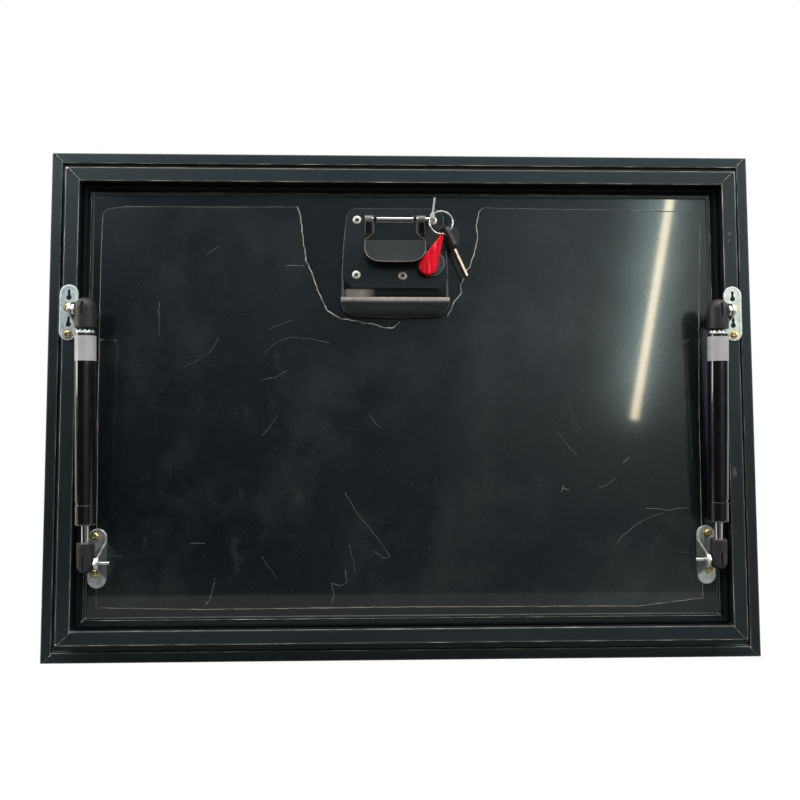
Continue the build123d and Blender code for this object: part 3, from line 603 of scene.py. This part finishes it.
for side, sign in (("left", -1), ("right", 1)):
    base = Vector((sign * lower_ball.x, lower_ball.y, lower_ball.z))

    def on_strut(distance, radius, turn):
        across = Vector((1, 0, 0)) * math.sin(turn) + strut_front * math.cos(turn)
        return base + strut_axis * distance + across * radius

    build = bmesh.new()
    rows = []
    for distance, radius in (
        (label_start, label_back),
        (label_start, label_front),
        (label_end, label_front),
        (label_end, label_back),
    ):
        row = []
        for column in range(label_columns):
            angle = -label_half_angle + 2 * label_half_angle * column / (label_columns - 1)
            row.append(build.verts.new(on_strut(distance, radius, math.radians(angle))))
        rows.append(row)
    for first, second in zip(rows, rows[1:] + rows[:1]):
        for column in range(label_columns - 1):
            build.faces.new((first[column], first[column + 1], second[column + 1], second[column]))
    build.faces.new([row[0] for row in rows])
    build.faces.new([row[-1] for row in rows][::-1])
    bmesh.ops.recalc_face_normals(build, faces=build.faces)
    piece(f"{side}_strut_label", build, "label_paper", f"{side}_strut_tube", "tube_paint", smooth=False)

    build = bmesh.new()
    outer = []
    inner = []
    walls = ((outer, crimp_base_radius, crimp_tip_radius), (inner, crimp_bore, crimp_bore))
    for step in range(2 * crimp_teeth):
        turn = math.pi * step / crimp_teeth
        top = crimp_tip if step % 2 else crimp_valley
        for wall, low, high in walls:
            ends = (on_strut(crimp_base, low, turn), on_strut(top, high, turn))
            wall.append([build.verts.new(end) for end in ends])
    for step in range(2 * crimp_teeth):
        following = (step + 1) % (2 * crimp_teeth)
        a, b = outer[step], outer[following]
        c, d = inner[step], inner[following]
        build.faces.new((a[0], b[0], b[1], a[1]))
        build.faces.new((d[0], c[0], c[1], d[1]))
        build.faces.new((a[1], b[1], d[1], c[1]))
        build.faces.new((b[0], a[0], c[0], d[0]))
    bmesh.ops.recalc_face_normals(build, faces=build.faces)
    piece(f"{side}_strut_crimp", build, "zinc_plate", f"{side}_strut_tube", "zinc_plate", smooth=False)

    build = bmesh.new()
    for distance in bead_places:
        turns = [2 * math.pi * step / bead_steps for step in range(bead_steps)]
        ring = [on_strut(distance, bead_ring_radius, turn) for turn in turns]
        cord_along(build, ring, bead_radius, 6, True)
    bmesh.ops.recalc_face_normals(build, faces=build.faces)
    piece(f"{side}_strut_rolls", build, "tube_paint", f"{side}_strut_tube")


# Protective film: most of it still on, torn away round the lock

tear_left = [(-105.6, 445.8), (-103.6, 438.7), (-100.5, 415.5), (-97.4, 392.3), (-92.4, 380.2)]
tear_left += [(-82.4, 354.2), (-77.4, 343.2), (-64.5, 333.7), (-53.7, 332.2), (-31.9, 328.3)]
tear_left += [(-18.0, 324.3), (-11.5, 323.8), (-4.1, 330.3)]
tear_behind_lock = [(3.0, 334.0), (38.0, 334.0)]
tear_right = [(43.7, 336.0), (50.5, 351.0), (57.8, 359.6), (55.9, 366.6), (60.5, 377.7), (62.0, 381.8)]
tear_right += [(66.1, 385.8), (70.2, 400.0), (74.3, 415.3), (72.4, 427.5), (75.6, 440.8), (79.7, 445.9)]
margin = [(79.7, 445.9), (198.1, 444.6), (296.0, 443.1), (300.1, 437.0), (296.7, 353.1), (294.0, 252.4)]
margin += [(293.4, 153.3), (292.8, 57.6), (230.2, 50.4), (-4.9, 51.4), (-197.7, 50.6), (-297.0, 52.9)]
margin += [(-298.1, 156.0), (-299.2, 253.0), (-299.3, 351.6), (-299.0, 411.5), (-298.1, 437.6)]
margin += [(-294.3, 442.7), (-273.7, 445.3), (-202.7, 445.2), (-105.6, 445.8)]


def ragged(points, amount, step):
    """A torn or lifted edge: the line wanders and rises off the panel a little."""
    made = []
    for point in resample([(x, film_face, z) for x, z in points], step):
        wander = noise.noise_vector(point * 0.21) * amount
        made.append(Vector((point.x + wander.x, point.y - abs(wander.y) * 0.8, point.z + wander.z)))
    return made


build = bmesh.new()
outline = tear_left + tear_behind_lock + tear_right + margin[1:-1]
plate(build, outline, film_face, panel_face)
piece("film_sheet", build, "film_plastic", "leaf", "inner_panel_gloss", smooth=False)

build = bmesh.new()
for line in (tear_left, tear_right):
    cord_along(build, ragged(line, 1.1, 2.2), uneven(0.34, 0.5, 0.37, 3.1, 0.4))
piece("film_torn_edge", build, "film_edge", "leaf", "inner_panel_gloss")

build = bmesh.new()
cord_along(build, ragged(margin, 0.5, 6.0), uneven(0.26, 0.26, 0.21, 7.7, 1.4), 5)
piece("film_margin_edge", build, "film_margin", "leaf", "inner_panel_gloss")

# Scratches in the film, as in the photo: the fine ones are narrower
fine_share = 0.6
deep_scratches = [
    [(-117.2, 386.2), (-99.4, 387.2)],
    [(-241.7, 349.7), (-241.1, 317.0)],
    [(-208.1, 114.2), (-193.7, 114.1)],
    [(-197.2, 396.9), (-182.5, 406.0)],
    [(-33.9, 238.0), (-30.0, 231.1), (-24.1, 226.1)],
    [(-58.2, 87.2), (-56.3, 74.7), (-62.1, 71.9), (-70.8, 74.9), (-68.9, 63.3), (-70.8, 54.8)],
    [(-183.7, 76.7), (-186.5, 67.1), (-189.2, 58.6), (-193.0, 54.8)],
    [(237.4, 145.7), (257.2, 143.6), (280.3, 145.5)],
    [(154.1, 160.8), (157.2, 168.6)],
    [(155.2, 165.7), (162.1, 163.7)],
    [(216.4, 190.0), (222.5, 195.9)],
]
fine_scratches = [
    [(-218.3, 284.4), (-200.9, 293.3), (-189.2, 302.2), (-182.5, 314.1)],
    [(-139.2, 298.3), (-127.5, 309.2), (-112.8, 315.2), (-98.1, 314.2), (-73.4, 309.3)],
    [(-135.5, 322.1), (-122.8, 328.1), (-109.0, 333.1)],
    [(-140.0, 272.6), (-124.4, 276.5), (-114.6, 282.5)],
    [(-125.1, 238.1), (-131.9, 226.4), (-139.6, 217.6)],
    [(-58.4, 162.7), (-45.6, 140.3), (-27.1, 117.9), (-13.5, 99.4), (-20.3, 98.5), (-30.1, 104.4)],
    [(-54.4, 111.3), (-50.5, 96.8), (-47.6, 84.3)],
    [(-138.7, 100.3), (-130.8, 87.8), (-123.1, 79.1)],
    [(152.1, 220.8), (160.9, 208.0), (170.6, 197.1)],
    [(191.0, 165.5), (201.0, 169.4), (208.1, 175.3)],
    [(208.8, 111.6), (216.9, 120.3), (229.0, 130.0), (242.1, 136.8), (255.2, 140.7)],
    [(204.8, 265.5), (210.7, 258.5), (216.6, 252.5)],
]
build = bmesh.new()
for number, path in enumerate(deep_scratches + fine_scratches):
    share = 1.0 if number < len(deep_scratches) else fine_share
    points = []
    for point in resample([(x, film_face - 0.02, z) for x, z in path], 2.5):
        wander = noise.noise_vector(point * 0.13 + Vector((number, 0, 0)))
        points.append(Vector((point.x + wander.x, point.y, point.z + wander.z)))
    cord_along(build, points, uneven(share * 0.14, share * 0.16, 0.5, number, 0.2), 4)
piece("film_scratches", build, "film_margin", "leaf", "inner_panel_gloss")


# Frame: mitre seams with burrs, painted edge highlights, a small hole in the flange drawn as a dark disc of
# painted shade, scuffs on the right barrel

frame_corners = (
    (-half_width, full_height, 1, -1),
    (half_width, full_height, -1, -1),
    (half_width, 0, -1, 1),
    (-half_width, 0, 1, 1),
)
seam_half_width = 0.7
seam_rise = 0.06
seam_thickness = 0.1
barrel_start, barrel_end = 22.0, 33.6
seam_runs = (
    (1.2, 9.0, flange_face - seam_rise),
    (10.6, 20.4, groove_face - seam_rise),
    (barrel_start, barrel_end, barrel_face - seam_rise),
)


def on_mitre(corner, inward, aside):
    """A point (x, z) this far in from a corner along both rails, and this far beside the mitre."""
    x, z, step_x, step_z = corner
    return x + step_x * (inward + aside), z + step_z * (inward - aside)


build = bmesh.new()
for corner in frame_corners:
    for start, end, depth in seam_runs:
        outline = [on_mitre(corner, inward, seam_half_width) for inward in (start, end)]
        outline += [on_mitre(corner, inward, -seam_half_width) for inward in (end, start)]
        plate(build, outline, depth, depth + seam_thickness)
piece("mitre_seams", build, "seam_dark", "frame", "frame_coat", smooth=False)

burr_rise = 0.05
burr_aside = 1.6
burr_runs = ((1.0, 9.0, flange_face - burr_rise), (barrel_start, barrel_end, barrel_face - burr_rise))
lump_radii = (1.2, 0.6, 0.5, 0.7)
lump_inset = 22.4
build = bmesh.new()
for (x, z, step_x, step_z), lump in zip(frame_corners, lump_radii):
    for start, end, depth in burr_runs:
        run = [(x + step_x * (inward + burr_aside), depth, z + step_z * inward) for inward in (start, end)]
        points = [point + noise.noise_vector(point * 0.6) * 0.25 for point in resample(run, 1.2)]
        cord_along(build, points, uneven(0.06, 0.30, 0.8, x, z), 5)
    at = Vector((x + step_x * lump_inset, barrel_face, z + step_z * lump_inset))
    made = bmesh.ops.create_icosphere(build, subdivisions=2, radius=lump)
    for vertex in made["verts"]:
        vertex.co *= 1 + 0.35 * noise.noise(vertex.co * 1.9 + at)
        vertex.co.y *= 0.5
        vertex.co += at
piece("mitre_burrs", build, "bare_burr", "frame", "frame_coat")


# Painted highlights: thin broken light lines along the crest of each rounded rail edge


def highlight_loop(build, inset, depth, seed):
    """A broken line round the hatch, this far in from the frame's outer edge."""
    reach, low, high = half_width - inset, inset, full_height - inset
    corners = ((-reach, low), (reach, low), (reach, high), (-reach, high), (-reach, low))
    loop = [(x, depth, z) for x, z in corners]
    cord_along(build, resample(loop, 5.0)[:-1], uneven(0.07, 0.40, 0.19, seed, 5.3), 5, True)


crest_sunk = 0.36
frame_crests = (
    (9.65, flange_face + crest_sunk),
    (21.35, barrel_face + crest_sunk),
    (34.15, barrel_face + crest_sunk),
)
build = bmesh.new()
for seed, (inset, depth) in enumerate(frame_crests):
    highlight_loop(build, inset, depth, seed * 3.7)
piece("frame_rubbed_edges", build, "rubbed_edge", "frame", "frame_coat")

leaf_crest_inset, leaf_crest_depth = 41.0, -3.98
build = bmesh.new()
highlight_loop(build, leaf_crest_inset, leaf_crest_depth, 21.3)
piece("leaf_rubbed_edge", build, "rubbed_edge", "leaf", "leaf_rail_coat")

# The flange's small hole: a dark disc whose darkness is painted shade
hole_profile = [(0, -0.25), (1.5, -0.25), (1.9, 0.1), (2.4, 0.12), (2.5, -0.3), (0, -0.3)]
hole_x, hole_z = 343.6, 178.6
build = bmesh.new()
lathe(build, hole_profile, 20)
bmesh.ops.recalc_face_normals(build, faces=build.faces)
piece("flange_hole_shade", build, "seam_dark", "frame", "frame_coat", at=facing(hole_x, flange_face, hole_z))

# Scuffs: x, z, width, height and turn
scuffs = (
    (322.0, 416.5, 7.0, 3.0, 0.6),
    (320.0, 181.0, 5.0, 12.0, 0.1),
    (321.0, 409.0, 5.0, 1.4, 0.8),
)
scuff_steps = 18
build = bmesh.new()
for x, z, width, height, turn in scuffs:
    outline = []
    for step in range(scuff_steps):
        angle = 2 * math.pi * step / scuff_steps
        reach = 0.75 + 0.5 * abs(noise.noise((math.cos(angle) * 2.1 + x, math.sin(angle) * 2.1, z)))
        local = Vector((width / 2 * reach * math.cos(angle), height / 2 * reach * math.sin(angle), 0))
        local = Matrix.Rotation(turn, 3, "Z") @ local
        outline.append((x + local.x, z + local.y))
    plate(build, outline, barrel_face - 0.03, barrel_face + 0.02)
piece("barrel_scuffs", build, "scuff_grey", "frame", "frame_coat", smooth=False)


# Outside: rivets along both hinge plates

rivet_profile = [(2.6, 0), (2.4, 0.5), (1.7, 0.85), (0, 1.05)]
rivet_count = 12
rivet_spacing = 50
outward_turn = facing(0, 0, 0, (0, 1, 0))
for body, z in (("frame", 27.2), ("leaf", 45.5)):
    build = bmesh.new()
    for number in range(rivet_count):
        x = rivet_spacing * (number - (rivet_count - 1) / 2)
        at = Matrix.Translation((x, hinge_plate_face, z)) @ outward_turn
        lathe(build, rivet_profile, 16, at)
    piece(f"hinge_{body}_rivets", build, "hinge_coat", body, "hinge_coat")


# Stage, light and camera


def math_of(tree, operation, first, second):
    made = tree.nodes.new("ShaderNodeMath")
    made.operation = operation
    for socket, value in zip(made.inputs, (first, second)):
        if isinstance(value, bpy.types.NodeSocket):
            tree.links.new(value, socket)
        else:
            socket.default_value = value
    return made.outputs[0]


def range_of(tree, value, none, full):
    """How far a value has come from one level to another, from 0 to 1."""
    made = tree.nodes.new("ShaderNodeMapRange")
    made.inputs["From Min"].default_value = none
    made.inputs["From Max"].default_value = full
    tree.links.new(value, made.inputs["Value"])
    return made.outputs[0]


def seen_white(tree, plain, seen, behind):
    """Plain light for the object; white for the camera, through clear things, and in mirrors from behind."""
    path = tree.nodes.new("ShaderNodeLightPath")
    factor = math_of(tree, "MULTIPLY", path.outputs["Is Glossy Ray"], behind)
    for name in ("Is Camera Ray", "Is Transmission Ray"):
        factor = math_of(tree, "MAXIMUM", factor, path.outputs[name])
    mixed = tree.nodes.new("ShaderNodeMixShader")
    tree.links.new(factor, mixed.inputs[0])
    tree.links.new(plain, mixed.inputs[1])
    tree.links.new(seen, mixed.inputs[2])
    return mixed.outputs[0]


floor_mesh = bpy.data.meshes.new("floor")
build = bmesh.new()
floor_reach, floor_front, floor_back, floor_height = 6.0, -0.36, 8.0, -0.0006
near_edge = [(-floor_reach, floor_front), (floor_reach, floor_front)]
far_edge = [(floor_reach, floor_back), (-floor_reach, floor_back)]
build.faces.new([build.verts.new((x, y, floor_height)) for x, y in near_edge + far_edge])
build.to_mesh(floor_mesh)
build.free()
floor = bpy.data.objects.new("floor", floor_mesh)
scene.collection.objects.link(floor)
paper = bpy.data.materials.new("floor_paper")
paper.use_nodes = True
tree = paper.node_tree
surface = tree.nodes["Principled BSDF"]
surface.inputs["Base Color"].default_value = (0.25, 0.25, 0.25, 1)
surface.inputs["Roughness"].default_value = 0.9
glow = tree.nodes.new("ShaderNodeEmission")
glow.inputs["Strength"].default_value = 1.09
blend = tree.nodes.new("ShaderNodeMixShader")
blend.inputs[0].default_value = 0.9
tree.links.new(surface.outputs[0], blend.inputs[1])
tree.links.new(glow.outputs[0], blend.inputs[2])
output = tree.nodes["Material Output"]
spot = tree.nodes.new("ShaderNodeNewGeometry")
place_of = tree.nodes.new("ShaderNodeSeparateXYZ")
tree.links.new(spot.outputs["Position"], place_of.inputs[0])
behind = range_of(tree, place_of.outputs["Y"], 0.0, 0.2)
seen = seen_white(tree, surface.outputs[0], blend.outputs[0], behind)
tree.links.new(seen, output.inputs["Surface"])
floor_mesh.materials.append(paper)

# The room: dim below and in front, brighter overhead
world = bpy.data.worlds.new("studio")
scene.world = world
world.use_nodes = True
tree = world.node_tree
room = tree.nodes["Background"]
way = tree.nodes.new("ShaderNodeTexCoord")
split = tree.nodes.new("ShaderNodeSeparateXYZ")
tree.links.new(way.outputs["Generated"], split.inputs[0])
height = tree.nodes.new("ShaderNodeValToRGB")
elements = height.color_ramp.elements
elements[0].position, elements[0].color = 0.0, (0.012, 0.015, 0.018, 1)
elements[1].position, elements[1].color = 1.0, (2.6, 2.4, 2.2, 1)
sky_steps = ((0.25, (0.09, 0.115, 0.135)), (0.62, (0.26, 0.32, 0.36)), (0.86, (1.9, 1.8, 1.7)))
for level, colour in sky_steps:
    elements.new(level).color = (*colour, 1)
tree.links.new(split.outputs["Z"], height.inputs["Fac"])


def looked_along(axis):
    """How far the way looked points along an axis."""
    made = tree.nodes.new("ShaderNodeVectorMath")
    made.operation = "DOT_PRODUCT"
    tree.links.new(way.outputs["Generated"], made.inputs[0])
    made.inputs[1].default_value = axis
    return made.outputs["Value"]


def lit_more(base, share, colour):
    """The room's light with a share of another colour added."""
    made = tree.nodes.new("ShaderNodeMix")
    made.data_type = "RGBA"
    made.blend_type = "ADD"
    made.clamp_result = False
    made.clamp_factor = False
    tree.links.new(share, made.inputs[0])
    tree.links.new(base, made.inputs[6])
    made.inputs[7].default_value = (*colour, 1)
    return made.outputs[2]


# Daylight from the front right
daylight_way = (0.421, -0.862, 0.281)
daylight = looked_along(daylight_way)
for operation, amount in (("MAXIMUM", 0.0), ("POWER", 10.0), ("MULTIPLY", 0.45)):
    daylight = math_of(tree, operation, daylight, amount)

# Glow along both sides of the strip that the panel mirrors, brightest on the strip's own line
strip_side = (0.9387, 0.3010, -0.1679)
strip_run = (0.1062, 0.2109, 0.9717)
strip_way = (0.3279, -0.9300, 0.1660)
left_reach, right_reach = 0.085, 0.055
glow_focus, glow_level = 3.0, 6.4
aside = looked_along(strip_side)
near_left, near_right = (range_of(tree, aside, reach, 0.0) for reach in (-left_reach, right_reach))
strip_glow = math_of(tree, "POWER", math_of(tree, "MULTIPLY", near_left, near_right), glow_focus)
strip_glow = math_of(tree, "MULTIPLY", strip_glow, glow_level)
for axis, none, full in (
    (strip_run, -0.157, -0.077),
    (strip_run, 0.242, 0.112),
    (strip_way, 0.5, 0.8),
):
    strip_glow = math_of(tree, "MULTIPLY", strip_glow, range_of(tree, looked_along(axis), none, full))

room_light = lit_more(height.outputs["Color"], daylight, (0.92, 0.98, 1.0))
room_light = lit_more(room_light, strip_glow, (0.72, 1.0, 1.0))
tree.links.new(room_light, room.inputs["Color"])
white = tree.nodes.new("ShaderNodeBackground")
white.inputs["Color"].default_value = (1, 1, 1, 1)
behind = range_of(tree, split.outputs["Y"], 0.0, 0.4)
output = tree.nodes["World Output"]
seen = seen_white(tree, room.outputs[0], white.outputs[0], behind)
tree.links.new(seen, output.inputs["Surface"])


def lamp(name, at, target, size, power, colour):
    """A rectangular lamp at one place that faces another."""
    data = bpy.data.lights.new(name, "AREA")
    data.shape = "RECTANGLE"
    data.size, data.size_y = size
    data.energy = power
    data.color = colour
    made = bpy.data.objects.new(name, data)
    made.location = at
    made.rotation_mode = "QUATERNION"
    made.rotation_quaternion = (Vector(target) - Vector(at)).to_track_quat("-Z", "Y")
    scene.collection.objects.link(made)
    return made


lamp("overhead", (0.4, -1.15, 1.4), (0, 0, 0.4), (1.6, 0.4), 4.5, (0.80, 0.94, 1.0))
lamp("ceiling_tube", (0.1, -0.7, 1.9), (0, 0, 0.35), (1.6, 0.2), 10.0, (1.0, 0.92, 0.84))
lamp("left_window", (-1.7, -0.2, 0.8), (0, -0.02, 0.35), (0.26, 1.1), 12.0, (1.0, 0.94, 0.87))
lamp("right_window", (1.5, -0.8, 0.95), (0.3, -0.02, 0.45), (0.3, 0.7), 9.0, (0.95, 0.98, 1.0))
lamp("left_soft", (-0.9, -0.9, 1.0), (-0.3, 0, 0.45), (0.5, 0.4), 4.0, (0.86, 0.96, 1.0))

# The lamp whose mirrored strip leans across the right of the panel
streak_top = Vector((0.746, -1.256, 0.859))
streak_bottom = Vector((0.665, -1.332, 0.294))
streak_target = Vector((0.25, -0.0025, 0.347))
streak_middle = (streak_top + streak_bottom) / 2
streak = lamp("strip", streak_middle, streak_target, (0.021, 0.6), 0.95, (1.0, 0.84, 0.56))
run = (streak_top - streak_bottom).normalized()
look_in = (streak_target - streak.location).normalized()
side_axis = run.cross(-look_in).normalized()
streak_turn = Matrix((side_axis, run, side_axis.cross(run))).transposed()
streak.rotation_quaternion = streak_turn.to_quaternion()

camera = bpy.data.cameras.new("photo_camera")
camera.lens = 35.66
camera.sensor_width = 36.0
camera.sensor_fit = "HORIZONTAL"
camera.clip_start = 0.01
photo_camera = bpy.data.objects.new("photo_camera", camera)
right = Vector((0.9995939, -0.02835793, -0.00280457))
up = Vector((0.00103915, -0.06207875, 0.99807071))
back = Vector((-0.02847733, -0.99766831, -0.06202407))
turn = Matrix((right, up, back)).transposed().to_4x4()
camera_place = (-0.02657, -0.78282, 0.20423)
photo_camera.matrix_world = Matrix.Translation(camera_place) @ turn
scene.collection.objects.link(photo_camera)
scene.camera = photo_camera

bpy.context.view_layer.update()
